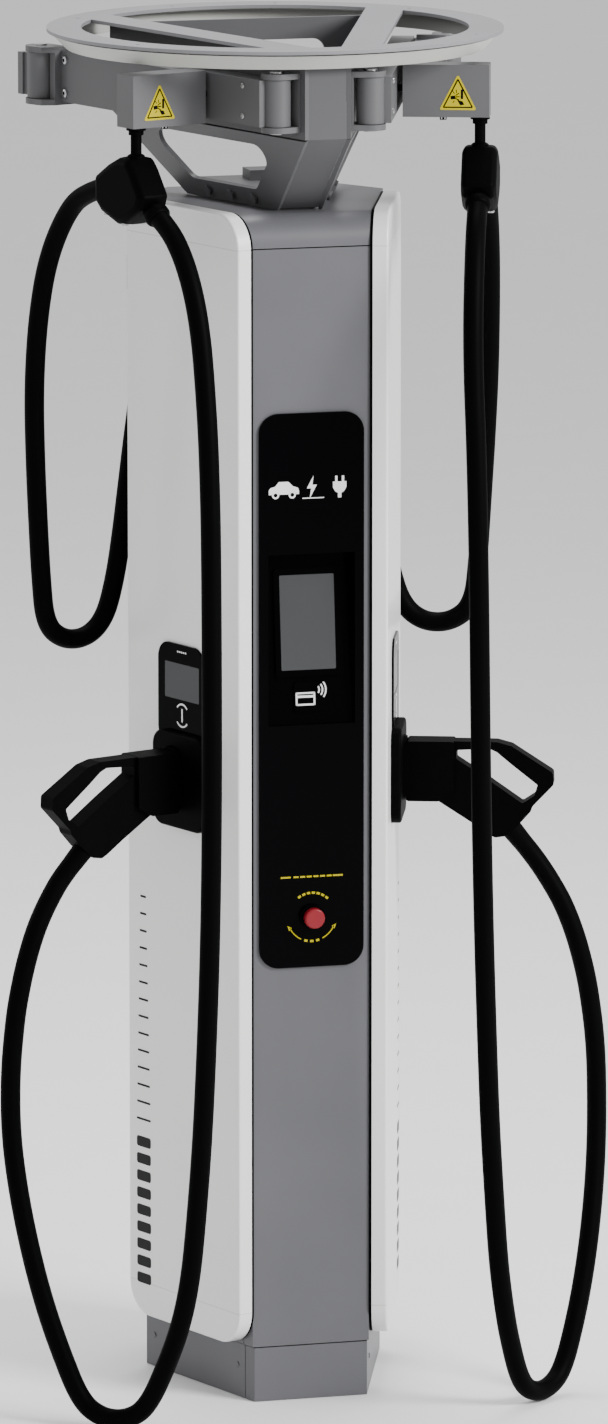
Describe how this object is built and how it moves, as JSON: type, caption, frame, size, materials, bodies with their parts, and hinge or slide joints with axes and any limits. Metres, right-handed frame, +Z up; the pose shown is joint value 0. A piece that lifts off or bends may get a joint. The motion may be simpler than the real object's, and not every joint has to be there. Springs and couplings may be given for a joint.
{
  "type": "charging post",
  "caption": "Free-standing vehicle charging post with screen, stop button, holstered connectors and swinging overhead cable arms under a light ring.",
  "frame": {"origin": "on the ground under the centre of the light ring, at the underside of the base plate", "axes": "+Z up, -Y out of the face with the screen, +X to the right seen from the front"},
  "size_m": [1.1, 0.8902, 2.4],
  "materials": {
    "body_grey": "satin powder coat",
    "panel_white": "smooth satin lacquer",
    "black_gloss": "polished",
    "screen_glass": "dark display glass",
    "black_matte": "fine textured",
    "black_rubber": "soft sheen",
    "stop_red": "moulded",
    "arm_grey": "satin powder coat",
    "light_white": "opal diffuser",
    "steel": "zinc plated",
    "frame_steel": "primer",
    "equipment": "moulded"
  },
  "bodies": {
    "post": {"base_plate": "frame_steel", "bracket_base": "arm_grey", "bracket_bolts": "steel", "bracket_front_leg": "arm_grey", "bracket_rear_plate": "arm_grey", "bracket_side_a": "arm_grey", "bracket_side_b": "arm_grey", "cable_glands": "black_matte", "cable_lower_a": "black_rubber", "cable_lower_b": "black_rubber", "cable_upper_a": "black_rubber", "cable_upper_b": "black_rubber", "cap": "body_grey", "card_reader": "black_matte", "contactors": "equipment", "controller": "equipment", "door_hinges": "body_grey", "estop_collar": "black_matte", "front_cover": "body_grey", "front_fascia": "black_gloss", "hmi_screen": "screen_glass", "holster_a": "black_matte", "holster_b": "black_matte", "inner_frame": "frame_steel", "meter_displays": "screen_glass", "meter_fascia_a": "black_gloss", "meter_fascia_b": "black_gloss", "mounting_plate": "frame_steel", "panel_gaskets": "black_rubber", "plinth_covers": "body_grey", "plinth_front": "body_grey", "ring_light": "light_white", "ring_plate": "arm_grey", "shoulder_clevises": "arm_grey", "shoulder_pins": "steel", "side_panel_a": "panel_white", "side_panel_b": "panel_white", "side_sheet_a": "body_grey", "side_sheet_b": "body_grey"},
    "inner_arm_a": {"inner_link_a": "arm_grey"},
    "outer_arm_a": {"outer_link_a": "arm_grey", "arm_fittings_a": "steel", "elbow_pin_a": "steel", "rope_a": "black_rubber", "cable_clamp_a": "black_matte"},
    "gun_a": {"gun_shell_a": "black_matte", "gun_nose_a": "black_matte", "gun_sleeve_a": "black_rubber"},
    "inner_arm_b": {"inner_link_b": "arm_grey"},
    "outer_arm_b": {"outer_link_b": "arm_grey", "arm_fittings_b": "steel", "elbow_pin_b": "steel", "rope_b": "black_rubber", "cable_clamp_b": "black_matte"},
    "gun_b": {"gun_shell_b": "black_matte", "gun_nose_b": "black_matte", "gun_sleeve_b": "black_rubber"},
    "stop_button": {"estop_button": "stop_red"},
    "rear_door": {"rear_door": "body_grey"},
    "door_lock": {"door_lock": "steel"}
  },
  "joints": [
    {"name": "shoulder_a", "type": "hinge", "parent": "post", "child": "inner_arm_a", "pos_m": [-0.083, -0.318, 2.3], "axis": [0, 0, 1], "range_deg": [0, 100], "deforming": ["cable_upper_a"]},
    {"name": "elbow_a", "type": "hinge", "parent": "inner_arm_a", "child": "outer_arm_a", "pos_m": [-0.37066, 0.20073, 2.3], "axis": [0, 0, -1], "range_deg": [0, 120], "deforming": ["cable_lower_a"]},
    {"name": "unplug_a", "type": "slide", "parent": "post", "child": "gun_a", "axis": [-0.9426, -0.3338, 0], "range_m": [0, 0.12]},
    {"name": "shoulder_b", "type": "hinge", "parent": "post", "child": "inner_arm_b", "pos_m": [0.083, -0.318, 2.3], "axis": [0, 0, -1], "range_deg": [0, 100], "deforming": ["cable_upper_b"]},
    {"name": "elbow_b", "type": "hinge", "parent": "inner_arm_b", "child": "outer_arm_b", "pos_m": [0.37066, 0.20073, 2.3], "axis": [0, 0, 1], "range_deg": [0, 120], "deforming": ["cable_lower_b"]},
    {"name": "unplug_b", "type": "slide", "parent": "post", "child": "gun_b", "axis": [0.9426, -0.3338, 0], "range_m": [0, 0.12]},
    {"name": "stop_push", "type": "slide", "parent": "post", "child": "stop_button", "axis": [0, 1, 0], "range_m": [0, 0.006], "stiffness_N_per_m": 2000},
    {"name": "door_swing", "type": "hinge", "parent": "post", "child": "rear_door", "pos_m": [-0.117, 0.258, 1], "axis": [0, 0, 1], "range_deg": [0, 110]},
    {"name": "lock_turn", "type": "hinge", "parent": "rear_door", "child": "door_lock", "pos_m": [0.082, 0.26, 1.06], "axis": [0, 1, 0], "range_deg": [0, 90]}
  ]
}
